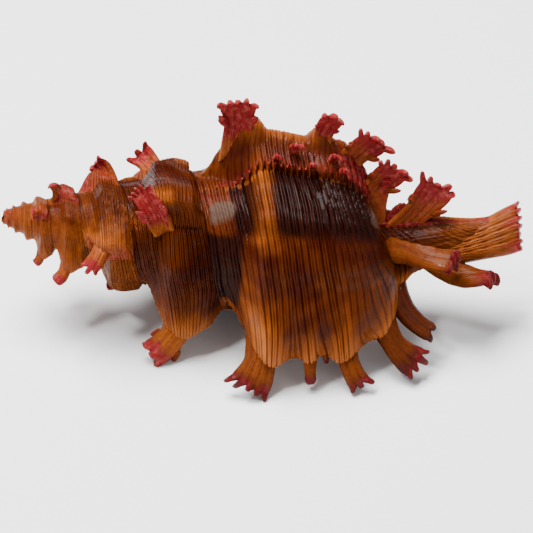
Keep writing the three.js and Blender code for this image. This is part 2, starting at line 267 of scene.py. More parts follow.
def sculpt(g, s):
    """Height of the fine relief over the bare skin, how much of a cord each point is (1 on a
    cord, 0 in a groove) and the cord's number u. Grooves lie at whole numbers of u, weaker ones
    half way between, and slow growth swells cross them. Older turns are cut deeper."""
    g, s = np.broadcast_arrays(np.asarray(g, float), np.asarray(s, float))
    f = share_down(g, s)
    size = np.clip(s / 60, 0.12, 1.1) ** 0.85
    u = CORDS * share_down(g, swept(g, s))
    u = u + 0.14 * np.sin(g / 17 + 5 * f) + 0.16 * ripple(g / 11, 5 * f, 1.1)
    w = np.abs(np.modf(np.abs(u) + 0.5)[0] - 0.5)
    h = 0.5 - w
    strong = 0.55 + 0.45 * chance(np.floor(u + 0.5))
    weak = 0.04 + 0.52 * chance(np.floor(u) + 71)
    groove = np.maximum(bell(w, 0.17) * strong, bell(h, 0.12) * weak)
    round_top = np.sqrt(np.clip(1 - (1 - 4 * np.minimum(w, h)) ** 2, 0, 1))
    fine = 0.5 - 0.5 * np.cos(2 * np.pi * 4 * u)
    swell = ripple(g / 3.4, 3 * f, 0.4) * 0.11 + ripple(g / 1.5, 9 * f, 1.9) * 0.06
    bead = 0.07 * np.cos(g * 1.25 + 2.2 * np.floor(2 * u)) * ease(1.6 - 2 * f)
    cut = 0.20 * round_top - 0.26 * groove - 0.03 * fine
    height = size * (cut + swell + bead * (1 - groove)) * np.where(g > 360, 1.5, 1.15)
    tone = 0.72 + 0.28 * chance(np.floor(2 * u) + 9)
    return height, np.clip(1 - groove, 0, 1) * tone, u


# ---- point values for the finish ----
STAINS = (0.0, 0.95, 0.8, 0.35)  # strength of the stained band ahead of the last ridges
OLD_STAIN = 0.3


def ridge_share(g):
    """How near growth g is to a ridge's crest and front, 0 to 1, and how deep it lies in the
    stained band ahead of the front."""
    near, band = np.zeros(np.shape(g)), np.zeros(np.shape(g))
    for n, crest in enumerate(CRESTS):
        d = g - crest
        near = np.maximum(near, between(d, -24, 16, 6, 22))
        strength = STAINS[n] if n < len(STAINS) else OLD_STAIN
        band = np.maximum(band, strength * between(d, -68, -18, 10, 4))
    return near, band


def skin_values(g, s, cord):
    """The finish's point values over the skin at growth g and place s, of 0 to 1: shade for the
    stained bands and for painted shade along the seams, rose, pale for the glaze, and glow for the
    orange sweeps."""
    f = share_down(g, s)
    a = LIP + g
    near, band = ridge_share(g + 5 * ripple(3 * f, g / 9, 5.0) + 7 * (cord - 0.5))
    patchy = ripple(g / 14, 7 * f, 2.2)
    fleck = ripple(g / 4.2, 19 * f, 0.7)
    up = sweep_share(g, s)
    last = g < 360
    # the strip below the seam that still shows the turn before, the second ridge's leading face,
    # a light streak across the stained band, and a dark crest on the second turn
    bare = last * (1 - ease((f - start_of_shoulder(g) + 0.02) / 0.07)) * (g > 22)
    face = last * between(g, 124, 152, 5, 8) * ease((f - 0.1) / 0.1)
    streak = bell(s - 53.6 + 0.05 * (g - 100), 2.2 + 1.1 * patchy) * last * between(g, 66, 150, 20)
    old_crest = ease((s - 34) / 3)

    shade = band * np.where(last, between(f, 0.2, 1.62, 0.1, 0.25), 1) * (1 - 0.8 * streak)
    # 0.4 * bell(f, 0.05) is painted shade in the crevice along each whorl's upper seam; patchy and
    # fleck are random tone
    shade = shade + 0.08 * patchy + 0.08 * fleck + 0.4 * bell(f, 0.05)
    # the lower half of the second turn darker down to its seam: partly its own dark red, partly
    # painted shade by the seam
    shade = shade + 0.25 * ease((f - 0.5) / 0.4) * ease((450 - g) / 5) * (g > 362) * (1 - up)
    shade = shade + 0.25 * bell(g - 463, 16) * old_crest + 0.8 * bare * ease((86 - g) / 8)
    shade = shade + 0.10 * bell(f - 0.7, 0.2) * last * ease((110 - g) / 20)
    shade = shade + 0.35 * between(s, 78, 92, 4, 8) * (np.abs(a - 30) < 50)
    shade = shade * (1 - 0.8 * up) * (1 - 0.8 * face)

    rose = 0.6 * near * ease((g - 500) / 100) * ease((f - 0.05) / 0.1) * (0.7 + 0.5 * patchy)
    rose = rose + 0.22 * ease((26 - s) / 16) + 0.35 * ease((7 - s) / 5) * (0.7 + 0.6 * fleck)
    rose = rose + 0.12 * bell(g - 128, 2.4) * ease((f - 0.15) / 0.2)
    rose = rose + 0.4 * bell(g - 139, 9) * between(s, 66, 86, 8, 3)
    rose = rose + 0.2 * bell(g - 444, 5) * (f < 0.9) + 0.25 * bare * bell(g - 112, 12)
    rose = rose + face * (0.14 + 0.2 * ease((s - 64) / 6) + 0.1 * bell(g - 128, 5))

    rough_edge = 1 + 0.35 * fleck
    square = (((s - 45.4) / 2.3) ** 4 + ((g - 98) / 10.5) ** 4) ** 0.25
    glaze = ease((1.35 - square * (1 + 0.12 * fleck)) / 0.6)
    pale = 0.85 * glaze * ease((g - 80) / 26 - (s - 45.4) / 14) * last
    pale = pale + 0.45 * bell((s - 53.2) * rough_edge, 1.9) * bell(g - 33, 7) * last
    pale = pale + 0.35 * bell(g - 13.5, 0.8) * (s > 56) * (s < 72)
    drop = np.hypot((s - 76.0) / 1.4, (g - 104) / 8) * rough_edge
    pale = pale + 0.55 * ease(1.5 - drop) * last + 0.3 * bare * bell(g - 112, 12)

    glow = 0.30 * near * ease((g + 2) / 20) * (1 - bell(g - 135, 10))
    glow = glow + 0.25 * streak + 0.12 * bell(g - 40, 22) * last + 0.14 * patchy + 0.14 * fleck
    glow = glow - 0.15 * between(g, 440, 560, 6, 30) + 0.10 * ease((g - 640) / 60)
    sweep = up * (0.55 + 0.4 * (s < 56)) * np.where(g > 420, 0.55, 1)
    glow = glow + sweep * (1 - 0.45 * face) - 0.08 * face
    glow = glow - 0.5 * bell(g - 463, 18) * old_crest * (g > 420)
    glow = glow + 0.8 * bell(s - 46.5, 3.0) * bell(g - 160, 15) * last
    glow = glow + 0.25 * (g > 700) * ease(0.5 - 0.8 * np.sin(np.radians(a)))
    glow = glow + 0.35 * ease((15 - s) / 10) + 0.25 * ease((s - 86) / 8)
    glow = glow + 0.5 * bell(s - 53.0, 1.9) * bell(g - 31, 6) * last

    values = dict(shade=shade, rose=rose, pale=pale, glow=glow)
    values = {name: np.clip(value, 0, 1) for name, value in values.items()}
    return dict(cord=cord + (1 - cord) * 0.15 * face, **values)


# ---- mesh making ----
class Build:
    """Patches of points and four-cornered faces, with the point values that the finish reads."""

    LAYERS = ("cord", "shade", "rose", "pale", "glow", "lining")
    WELD = 2e-7  # metres

    def __init__(self):
        self.points, self.faces, self.values, self.map, self.count = [], [], [], [], 0

    def patch(self, points, faces=NO_FACES, uv=(0.0, 0.0), **values):
        """Adds points (any shape by 3), faces that number the flattened points, and values of the
        points' shape; gives the first point's number."""
        shape = np.shape(points)[:-1]
        layers = [values.get(name, 1.0 if name == "cord" else 0.0) for name in self.LAYERS]
        for rows, into in ((layers, self.values), (uv, self.map)):
            into.append(np.stack([np.broadcast_to(x, shape).reshape(-1) for x in rows], -1))
        self.points.append(np.reshape(points, (-1, 3)))
        self.faces.append(np.asarray(faces) + self.count)
        self.count += len(self.points[-1])
        return self.count - len(self.points[-1])

    def welded(self):
        """Points in metres, values, map and faces, with points that meet made one and flattened
        faces dropped or turned to triangles."""
        points, faces = laid(np.concatenate(self.points)), np.concatenate(self.faces)
        cells = np.round(points / self.WELD).astype(np.int64)
        _, first, back = np.unique(cells, axis=0, return_index=True, return_inverse=True)
        faces = back.reshape(-1)[faces]
        same = faces == np.roll(faces, -1, axis=1)
        crossed = (faces[:, 0] == faces[:, 2]) | (faces[:, 1] == faces[:, 3])
        whole = faces[(same.sum(1) == 0) & ~crossed]
        single = (same.sum(1) == 1) & ~crossed
        keep = (np.argmax(same[single], axis=1)[:, None] + np.arange(1, 4)[None]) % 4
        thirds = np.take_along_axis(faces[single], keep, axis=1)
        values, uv = np.concatenate(self.values)[first], np.concatenate(self.map)[first]
        return points[first], values, uv, whole.tolist() + thirds.tolist()

    def finish(self, name, material, sharp=1.15):
        """Makes the object: smooth but for edges sharper than the angle, faces outward."""
        points, values, uv, faces = self.welded()
        mesh = bpy.data.meshes.new(name)
        mesh.from_pydata(points.tolist(), [], faces)
        for k, layer in enumerate(self.LAYERS):
            data = mesh.attributes.new(layer, "FLOAT", "POINT").data
            data.foreach_set("value", values[:, k].astype(np.float32))
        loops = np.empty(len(mesh.loops), np.int32)
        mesh.loops.foreach_get("vertex_index", loops)
        layer = mesh.uv_layers.new(name="growth")
        layer.data.foreach_set("uv", uv[loops].astype(np.float32).ravel())
        mesh.validate()
        piece = bpy.data.objects.new(name, mesh)
        bpy.context.scene.collection.objects.link(piece)
        turn_outward(mesh)
        mesh.shade_smooth()
        mesh.set_sharp_from_angle(angle=sharp)
        mesh.materials.append(material)
        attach(piece, "root")
        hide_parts("shell")
        return piece


def turn_outward(mesh):
    """Makes every closed surface's faces point out of it."""
    work = bmesh.new()
    work.from_mesh(mesh)
    bmesh.ops.recalc_face_normals(work, faces=work.faces)
    work.to_mesh(mesh)
    work.free()


def grid(rows, cols, wrap=False, start=0):
    """Faces of a grid of rows by cols points; wrap joins the last column to the first."""
    i = np.arange(rows - 1)[:, None] * cols
    j = np.arange(cols if wrap else cols - 1)[None]
    a, b = i + j, i + (j + 1) % cols
    return np.stack([a, a + cols, b + cols, b], -1).reshape(-1, 4) + start


def fan(loop, centre):
    """Faces from a closed loop of point numbers to one centre point."""
    a, b = np.asarray(loop), np.roll(loop, -1)
    c = np.full(len(a), centre)
    return np.stack([a, b, c, c], -1)


def strip(a, b, rows):
    """Faces between two lines of point numbers, taken over their first rows."""
    i = np.arange(rows - 1)
    return np.stack([a[i], a[i + 1], b[i + 1], b[i]], -1)


def columns(first, last, wide_step, fine_step):
    """Growth values from first to last: wide steps, with fine ones along each toothed front."""
    coarse = np.linspace(first, last, int(round((last - first) / wide_step)) + 1)
    toothed = [c for c in CRESTS if first + 25 < c < last + 15 and c > 30]
    zones = [np.arange(c - 23.5, c - 16.5, fine_step) for c in toothed]
    both = np.unique(np.concatenate([coarse] + zones))
    both = both[(both >= first) & (both <= last)]
    gap = np.append(True, np.diff(both) > 0.2)
    gap[-1] = True
    return both[gap]


# ---- whorls ----
def coil_wall(build, g, f):
    """One whorl's skin over growth g (rows) and share f of its height (columns), closed inside by
    a sheet from each seam to the axis and by a cap at both ends."""
    gg, ff = np.meshgrid(g, f, indexing="ij")
    s = place_at(gg, ff)
    height, cord, lines = sculpt(gg, s)
    size = np.clip(s / 60, 0.1, 1)
    uneven = 1 + 0.5 * ripple(gg / 5, 0 * gg, 3.0)
    lap = size**1.5 * 0.45 * bell(ff, 0.035) * uneven
    tuck = 0.5 * size * bell(ff - 1, 0.03)
    r = skin(gg, s, True) + height * ease(1.5 * size + 0.2) + lap - tuck
    n, m = s.shape
    points = place(s, LIP + gg, r)
    start = build.patch(points, grid(n, m), uv=(gg / 360, lines), **skin_values(gg, s, cord))
    upper = place(seam_at(g), LIP + g, 0 * g)
    lower = place(seam_at(g) * WHORL, LIP + g, 0 * g)
    # the sheets inside reach to the axis and are dark with painted shade
    axis = build.patch(np.stack([upper, lower]), shade=0.8)
    rows = np.arange(n)
    walls = [
        strip(start + rows * m, axis + rows, n),
        strip(start + rows * m + m - 1, axis + n + rows, n),
    ]
    for k in (0, n - 1):
        column = start + k * m + np.arange(m)
        s_mid = seam_at(g[k]) * 1.25
        mid = build.patch(place(s_mid, LIP + g[k], skin(g[k], s_mid) * 0.4)[None])
        walls.append(fan(np.concatenate([column, [axis + n + k, axis + k]]), mid))
    build.faces.append(np.concatenate(walls))


BODY_ROWS, SKIRT_ROWS, CANAL_ROWS = 210, 92, 44
CANAL_STOP = 3.5  # how far the tube stops short of the canal's end, inside its fan


def last_whorl(build):
    """The last turn with the neck and canal: columns of growth g in 0..360, rows from the seam to
    the canal's end. Its flat front closes in rings round the mouth."""
    g = columns(0, 360, 1.8, 0.6)
    f = np.linspace(0, 1, BODY_ROWS)
    skirt = np.linspace(0, 1, SKIRT_ROWS)[1:]
    canal = np.linspace(0, 1, CANAL_ROWS)[1:]
    s_body = place_at(*np.meshgrid(g, f, indexing="ij"))
    foot = seam_at(g)[:, None] * WHORL
    s_skirt = foot + (NECK - foot) * skirt[None] ** (0.85 + 0.15 * g[:, None] / 360)
    s_canal = NECK + (LENGTH - CANAL_STOP - 1 - NECK) * canal[None]
    s_canal = np.broadcast_to(s_canal, (len(g), len(canal)))
    s = np.concatenate([s_body, s_skirt, s_canal], axis=1)
    gg = np.broadcast_to(g[:, None], s.shape)
    height, cord, lines = sculpt(gg, s)
    from_lip = np.minimum(gg, 360 - gg)
    edge = ease(from_lip / 7 + (s < NECK) * 1.0)
    lap = 0.5 * bell(share_down(gg, s), 0.03) * (1 + 0.5 * ripple(gg / 5, 0 * gg, 3.0))
    r = skin(gg, s, True) + (height * edge) * np.where(s > NECK, 0.7, 1) + lap
    slit = bell(from_lip, 8.0) * ease((s - 79) / 5) * ease((LENGTH - s) / 3)
    r = (r - 1.7 * slit) * (1 - 0.35 * ease((s - 89) / 11))
    n, m = s.shape
    values = skin_values(gg, s, cord)
    # painted shade down the canal's slit, where the groove is cut
    values["shade"] = np.clip(values["shade"] + 0.5 * slit, 0, 1)
    values["rose"] = np.clip(values["rose"] + 0.8 * ease((s - 95) / 8), 0, 1)
    body = build.patch(place(s, LIP + gg, r), grid(n, m), uv=(gg / 360, lines), **values)
    # the canal's end
    tip = build.patch(place(LENGTH - CANAL_STOP, 0, 0)[None], rose=1, shade=0.4)
    ends = [fan(body + np.arange(n) * m + m - 1, tip)]
    # the hidden wall under the upper seam, dark with painted shade, and the section where this turn
    # starts
    axis = build.patch(place(seam_at(g), LIP + g, 0 * g), shade=0.8)
    ends.append(strip(body + np.arange(n) * m, axis + np.arange(n), n))
    inner = np.concatenate([body + (n - 1) * m + np.arange(BODY_ROWS), axis + np.arange(n)])
    mid = build.patch(place(38.0, LIP, 7.0)[None])
    ends.append(fan(inner, mid))
    build.faces.append(np.concatenate(ends))
    # the front's outer loop runs down the lip and back up the wall of the turn before
    k = BODY_ROWS + len(skirt)
    lip = np.stack([s[0, :k], r[0, :k]], -1)
    wall = np.stack([s[-1, BODY_ROWS - 1 : k], r[-1, BODY_ROWS - 1 : k]], -1)[::-1]
    front_and_throat(build, lip, wall)


FRONT_RINGS, THROAT_RINGS = 13, 40
SIPHON = np.radians(-28)  # where round the mouth the canal leaves it


def front_and_throat(build, lip, wall):
    """Rings from the loop of lip and wall, as (s, r) pairs, to the mouth's oval, and rings that
    wind back by MOUTH_TURN as the throat, shrinking with the whorl and closing at its end."""
    rim = np.concatenate([lip, wall[1:-1]])
    down = np.linalg.norm(np.diff(lip, axis=0), axis=1)
    up = np.linalg.norm(np.diff(wall, axis=0), axis=1)
    along_lip = np.concatenate([[0], np.cumsum(down) / down.sum()])
    along_wall = (np.cumsum(up) / up.sum())[:-1]
    angle = np.concatenate(
        [np.pi - (np.pi - SIPHON) * along_lip, SIPHON - (np.pi + SIPHON) * along_wall]
    )
    cos, sin = np.cos(angle), np.sin(angle)
    ones = np.ones((1, len(angle)))
    oval = np.stack([MOUTH_S + MOUTH_HALF * cos, MOUTH_R + MOUTH_WIDE * sin], -1)
    share = np.linspace(0, 1, FRONT_RINGS)[:, None]
    flat = rim[None] * (1 - share[..., None]) + oval[None] * share[..., None]
    # the rim stands proud but for the siphon's notch, and the lip side is scalloped
    notch = bell(np.angle(np.exp(1j * (angle - SIPHON)))[None], 0.22)
    proud = 0.9 * bell(share - 0.93, 0.16) * (1 - notch) - 1.5 * notch * ease(share * 1.4)
    wave = 0.30 * np.cos(angle * 26)[None] * ease(sin[None] * 2) * bell(share - 0.5, 0.4)
    forward = (proud + wave) * np.where(share > 0, 1, 0)
    bearing = LIP - np.degrees(forward / np.maximum(flat[..., 1], 3))
    turn = MOUTH_TURN * np.linspace(0, 1, THROAT_RINGS + 1)[1:, None]
    size = WHORL ** (-turn / 360)
    shut = np.sqrt(np.maximum(0, 1 - (0.985 * (turn + 22) / (MOUTH_TURN + 22)) ** 3))
    teeth = 0.25 * np.cos(angle * 13)[None] * ease(sin[None] * 2) * bell(turn - 6, 6)
    ts = MOUTH_S * size + MOUTH_HALF * size * shut * cos[None]
    tr = MOUTH_R * size**SLENDER + (MOUTH_WIDE * size - teeth) * shut * sin[None]
    points = np.concatenate(
        [place(flat[..., 0], bearing, flat[..., 1]), place(ts, LIP + turn, tr)]
    )
    ring = len(angle)
    mouth = build.patch(
        points,
        grid(len(points), ring, wrap=True),
        lining=np.concatenate([ease((share - 0.35) / 0.4) * ones, np.ones(tr.shape)]),
        rose=np.concatenate([0.7 * bell(share - 0.45, 0.25) * ones, 0 * tr]),
        shade=np.concatenate([0.3 * (1 - share) * ones, 0 * tr]),
    )
    deep = build.patch(points[-1].mean(axis=0)[None], lining=1)
    build.faces.append(fan(mouth + (len(points) - 1) * ring + np.arange(ring), deep))


# ---- fronds ----
def tubes(build, line, across, out, half_a, half_o, ring, **values):
    """Closed tubes: each row of line is a centre line, with an oval of half widths half_a across
    and half_o out at every point; fans close both ends."""
    count, along = line.shape[:2]
    t = np.linspace(0, 2 * np.pi, ring, endpoint=False)
    points = (
        line[:, :, None]
        + across[:, :, None] * (half_a[:, :, None] * np.cos(t))[..., None]
        + out[:, :, None] * (half_o[:, :, None] * np.sin(t))[..., None]
    )
    shape = points.shape[:-1]
    full = {
        name: np.broadcast_to(x[..., None] if np.ndim(x) == 2 else x, shape)
        for name, x in values.items()
    }
    uv = (np.linspace(0, 1, along)[None, :, None], np.arange(count)[:, None, None] + t / 6.2832)
    faces = [grid(along, ring, wrap=True, start=k * along * ring) for k in range(count)]
    base = build.patch(points, np.concatenate(faces), uv=uv, **full)
    ends = []
    for row in (0, along - 1):
        at_end = {name: x[:, row].mean(axis=1) for name, x in full.items()}
        mids = build.patch(points[:, row].mean(axis=1), **at_end)
        for k in range(count):
            ends.append(fan(base + (k * along + row) * ring + np.arange(ring), mids + k))
    build.faces.append(np.concatenate(ends))


REACH = 0.66  # share of a blade's rows that lies below its fingers
BLADE_ROWS, FINGER_ROWS = 21, 15


def frond(build, s, a, r, root, wide, stem, tip, ds=0.0, da=-5.0, lobes=3, lobe=2.2, thick=1.7,
          curl=0.34, spread=0.75, fingers=(), knee=(0.25, 0.5), hint=(1, 0, 0), slant=0.0,
          sink=1.0, lines=1.0, blush=0.5, dull=0.0, flush=0.0, twigs=0, seed=0):
    """A frond: one thick ribbed blade along a curve base (1-u)^2 + 2 bend u (1-u) + tip u^2.
    Share q (-1..1) of the half width, which goes from foot to stem to tip, places a point across
    it. Past the tip each rib runs on as a rounded finger of length * (1 - m^3), m being 0 on the
    rib and 1 half way to the next. The two faces are thick * (1 - q^4)^0.5 apart, and the side
    that faces the growth is hollowed by curl * q^2."""
    v = np.linspace(0, REACH, BLADE_ROWS)
    v = np.concatenate([v, np.linspace(REACH, 1, FINGER_ROWS)[1:]])[:, None]
    u = np.minimum(v / REACH, 1)
    beyond = np.clip((v - REACH) / (1 - REACH), 0, 1)
    base = place(s, a, max(1.0, root - 2))
    bend = place(s + knee[0] * ds, a + 0.3 * da, root + knee[1] * (r - root))
    end = place(s + ds, a + da, r - 0.35 * lobe)
    path = base * (1 - u) ** 2 + 2 * bend * u * (1 - u) + end * u**2
    tangent = unit(2 * (1 - u) * (bend - base) + 2 * u * (end - bend))
    hint = np.array(hint, float)
    across = unit(hint - tangent * (tangent @ hint)[:, None])
    back = np.cross(tangent, across)  # points to the older side
    foot = min(wide, 1.3 * stem)
    half = (stem + (foot - stem) * (1 - ease(u / 0.5)) + (tip - stem) * ease((u - 0.35) / 0.65)) / 2
    half = half * (1 + 0.07 * ripple(7 * v, 0 * v, seed))
    # round the section: down one face and back up the other, in ribs k
    per_side = max(24, 10 * lobes)
    turn = np.arange(2 * per_side) / (2 * per_side)
    q = np.round(np.where(turn < 0.5, 1 - 4 * turn, 4 * turn - 3), 9)
    face = np.where(turn < 0.5, 1.0, -1.0)
    along = (q + 1) / 2 * lobes
    k = np.clip(np.floor(along), 0, lobes - 1)
    m = np.clip(2 * np.abs(along - k - 0.5), 0, 1)
    middle = (2 * k + 1) / lobes - 1
    sub_rib = np.cos(2 * np.pi * 3 * along)
    # fingers
    grown = np.array(fingers)[k.astype(int)] if fingers else 0.35 + 1.2 * chance(k + 10 * seed)
    length = 0.74 * lobe * grown * (1 - m**3) + 0.18 * lobe
    narrow = middle + (q - middle) * (1 - 0.30 * ease(beyond) * (lobes > 1))
    lean = 1.1 * (chance(k + 10 * seed + 5) - 0.45) * (1 - m**2)
    splay = spread * (q if lobes > 2 else 0.3 * q)
    aim = unit(tangent[-1] + across[-1] * splay[:, None] + back[-1] * lean[:, None])
    # thickness and hollow
    edge = np.sqrt(np.maximum(0, 1 - q**4))
    finger = beyond * (1.35 * np.sqrt(1 - 0.8 * m**2) * edge**0.3) + (1 - beyond) * edge
    ribs = (1 - 0.26 * lines * m**3 * ease(v / 0.3)) * (1 + 0.07 * lines * sub_rib)
    scales = 1 + 0.05 * np.sin(50 * v + 3 * m + seed) * ease(v / 0.2)
    rounded = np.sqrt(np.maximum(0, 1 - beyond**4))
    deep = thick * (1.5 - 0.75 * u) / 2 * finger * ribs * scales * rounded
    hollow = curl * half * q**2 + 0.45 * beyond**2 * length
    sunk = 2.6 * sink * q**2 * np.clip(1 - u / 0.35, 0, 1) * min(1.0, stem / 5)
    points = (
        path[:, None]
        + across[:, None] * (half * narrow)[..., None]
        + back[:, None] * (face * deep - hollow)[..., None]
        + tangent[:, None] * (slant * half * q * u**2 - sunk)[..., None]
        + aim[None] * (beyond * length)[..., None]
    )
    # point values: rose towards the tip and in the hollow, dark lines between the ribs
    grain = ripple(6 * v, 5 * q, seed)
    uneven = 0.85 + 0.3 * grain
    tinted = ease((v - blush + 0.10 * grain) / 0.3)
    inner = (face < 0) * (1 - q**2) * ease(v / 0.3)
    groove = m**3 * ease(v / 0.25)
    strong = 0.25 + 0.75 * chance(np.floor(along + 0.5) + 7 * seed)
    cord = 1 - lines * (0.66 - 0.3 * tinted) * groove * strong - 0.08 * lines * (1 - sub_rib)
    # The frond's dullness setting darkens it: partly its own duller colour, partly painted shade on
    # low fronds in shadow.
    shade = dull * (0.36 + 1.1 * tinted) + 0.15 * inner + 0.3 * groove * strong * tinted
    start = build.patch(
        points,
        grid(len(v), len(q), wrap=True),
        uv=(v, 2 * along),
        cord=np.clip(cord, 0, 1),
        rose=np.clip(flush + tinted * uneven + 0.22 * inner, 0, 1),
        # the roots' orange fades with that setting, partly as painted shade; below 0 it grows, as
        # painted light on the lit top row
        glow=np.clip((1 - tinted) * (0.55 - 0.4 * dull) * uneven, 0, 1),
        shade=np.clip(shade, 0, 1),
    )
    mid = build.patch(points[:1].mean(axis=1))
    build.faces.append(fan(start + np.arange(len(q)), mid))
    if twigs:
        w = np.arange(2 * twigs)
        at = 0.50 + 0.22 * chance(w + seed) + 0.05 * (w // 2) / twigs
        i = np.clip((at * (BLADE_ROWS - 1)).astype(int), 0, BLADE_ROWS - 1)
        tint = ease((v[i] - blush) / 0.3)
        side_twigs(build, path[i], tangent[i], across[i], back[i], half[i], tip, curl, tint, seed)


def side_twigs(build, path, tangent, across, back, half, tip, curl, tint, seed):
    """Small tapering twigs off a blade's edges, by turns to either side, one for each row of the
    arrays; each bends towards the tip by 0.35 t^2 of its length."""
    w = np.arange(len(path))
    sign = np.where(w % 2 == 0, 1.0, -1.0)[:, None]
    size = np.clip(tip / 6, 0.5, 1.1)
    t = np.linspace(0, 1, 9)
    foot = path + across * sign * (half - 0.4) - back * (curl * half)
    aim = unit(across * 0.55 * sign - back * (0.5 + 0.5 * chance(w + 2))[:, None] + tangent * 0.8)
    run = t[None] * ((1.3 + 1.3 * chance(w + seed + 5)) * size)[:, None]
    line = foot[:, None] + aim[:, None] * run[..., None]
    line = line + tangent[:, None] * (0.35 * t[None] * run)[..., None]
    taper = np.sqrt(np.maximum(0, 1 - t**2.6)) * np.ones((len(w), 1))
    width = 0.8 * np.minimum(size, 1.0) * taper
    across, back = (np.broadcast_to(x[:, None], line.shape) for x in (across, back))
    rose = np.clip(tint + t[None] * 0.6, 0, 1)
    tubes(build, line, across, back, width, width * 0.8, 8, cord=0.9, rose=rose, glow=0.3)


# Fronds of the three last ridges. s, ds: place of the root and how far the tip is carried along;
# r: reach; wide, stem, tip: widths; foot: how far its sweep stands off its root along s.
FIRST_ROW = [
    dict(s=55.4, ds=-2.4, r=32.4, wide=8, stem=6.2, tip=8.4, lobes=5, lobe=2.8, foot=1.0),
    dict(s=64.5, ds=0.4, r=30, wide=4.2, stem=2.6, tip=2.2, lobes=1),
    dict(s=67.4, ds=0.4, r=25.6, wide=2, stem=1.3, tip=0.9, lobes=1),
    dict(s=71.3, ds=3.3, r=30.4, wide=7, stem=4, tip=4.6, lobes=3),
    # the two last fronds are darker, partly as painted shade where they lie low in shadow
    dict(s=78.8, ds=6.8, r=26.2, wide=6.4, stem=4.6, tip=6.4, lobes=4, lobe=2.6, foot=1.8,
         dull=1.0),
    dict(s=81.5, ds=6.8, r=19.6, wide=5.4, stem=4.4, tip=4.2, lobes=2, lobe=1.4, dull=1.2,
         blush=0.8),
]
SECOND_ROW = [
    dict(s=47.6, ds=-0.6, r=31.4, wide=7.4, stem=5.6, tip=7.2, lobes=5, lobe=2.8, twigs=7,
         foot=2.4, spread=0.6, blush=0.1, fingers=(0.9, 0.5, 1.2, 0.8, 1.1)),
    dict(s=63.8, ds=1.8, r=29.6, wide=6.4, stem=3.8, tip=4.8, lobes=3, lobe=2.6, twigs=1,
         blush=0.25),
    dict(s=68.9, ds=5.0, r=25.3, wide=7, stem=5.4, tip=7.2, lobes=5, lobe=3.0, twigs=2,
         spread=1.1, fingers=(1.7, 0.7, 1.0, 0.6, 1.0), knee=(0.45, 0.15)),
    dict(s=74.0, ds=4.6, r=18.8, wide=5.6, stem=5, tip=7, lobes=5, lobe=2.8, twigs=2,
         spread=1.1, fingers=(1.5, 0.9, 0.6, 1.0, 0.8), knee=(0.45, 0.15)),
    dict(s=77, ds=0.8, r=15.4, wide=3.6, stem=2.4, tip=2.2, lobes=1),
    dict(s=81.6, ds=6.2, r=14.0, wide=6, stem=5.2, tip=7.6, lobes=5, lobe=2.8, twigs=3,
         spread=0.9, fingers=(1.7, 0.8, 0.6, 1.0, 0.5), knee=(0.5, 0.15)),
]
THIRD_ROW = [
    dict(s=41.5, ds=-1, r=28.7, da=4, wide=8, stem=5.2, tip=6.6, lobes=5, twigs=1),
    dict(s=53, ds=0.6, r=27.8, da=4, wide=5, stem=3.2, tip=3.4, lobes=2),
    dict(s=60, ds=3, r=26.4, da=4, wide=6.8, stem=4.4, tip=5.6, lobes=4, twigs=1),
    dict(s=64.5, ds=7, r=24.4, da=4, wide=6.8, stem=4.4, tip=5.8, lobes=4),
    dict(s=70, ds=8, r=18, da=2, wide=5.4, stem=4, tip=5, lobes=4, twigs=1),
]
# the fan at the canal's end, the fork below it, the trumpet at the neck, and a small frond
CANAL_ROW = [
    dict(s=91, a=-90, ds=14.2, da=0, r=2.3, root=3.8, wide=7.4, stem=7.0, tip=9.6, lobes=7,
         lobe=1.3, thick=5.4, curl=0.12, hint=(0, 0, 1), blush=0.5, dull=0.2, lines=0.4,
         slant=0.3, spread=0.5, fingers=(0.3, 0.6, 0.4, 0.9, 1.0, 1.2, 0.8)),
    dict(s=87, a=-76, da=0, ds=12.4, r=11.0, wide=5.4, stem=5.0, tip=8, lobes=4, lobe=2.6,
         root=2.6, thick=3, blush=0.5, dull=0.6, fingers=(1.0, 0.3, 0.7, 1.2)),
    dict(s=79.5, a=-4, da=-18, ds=12.0, r=10.4, wide=5, stem=3.8, tip=7.2, lobes=5, lobe=2.0,
         root=5.5, curl=0.8, thick=3, blush=0.6, dull=0.7),
    dict(s=80, a=-118, da=0, ds=2.6, r=10.5, wide=4, stem=3, tip=3, lobes=2, root=5),
]
# older ridges: reach of the shoulder frond and its lobes
SPIRE_ROW = [(25.4, 3), (20, 5), (19.8, 3), (13.5, 1), (15.4, 3), (13.2, 3), (12, 3), (12.2, 1),
             (9.2, 1), (8.4, 1), (8.8, 1), (6.4, 1)]
# how far down its whorl an older ridge's frond stands, in the seam's places
DOWN, DOWN_MOST = {0: 1.29, 2: 1.38, 3: 1.36, 5: 1.42, 8: 1.20}, 1.24
# the older ridge whose frond is a leaf that lies over the seam, and the leaf
LEAF_AT = 1
LEAF = dict(s=34.2, a=5, da=19, ds=-5.0, r=18.4, wide=4.6, stem=5.0, tip=4.4, lobes=6, lobe=1.5,
            thick=2.2, curl=0.7, blush=0.1, dull=-0.5, twigs=8, sink=0.0, seed=61)
# small sprouts on the leading face of the second ridge: place, growth, length
SPROUTS = [(58.6, 138, 3.4), (55.0, 133, 1.9), (62.2, 132, 1.6), (66.4, 136, 2.8),
           (68.4, 131, 2.3)]
# rows of teeth along ridge edges: growth of the crest, length
TEETH = [(147, 0.6), (258, 0.5)]


def row(build, fronds, n, **common):
    """The fronds of ridge n, each rooted just ahead of its crest."""
    for k, spec in enumerate(fronds):
        root = float(skin(CRESTS[n] - 2, spec["s"]))
        shape = {key: value for key, value in spec.items() if key != "foot"}
        stand = dict(a=LIP + CRESTS[n] - 2, root=root, seed=3 * k + 11 * n)
        frond(build, **{**stand, **common, **shape})


def spire_root(k):
    """Growth and place of the frond on older ridge k."""
    g = CRESTS[k + 3]
    return g, float(seam_at(g)) * DOWN.get(k, DOWN_MOST)


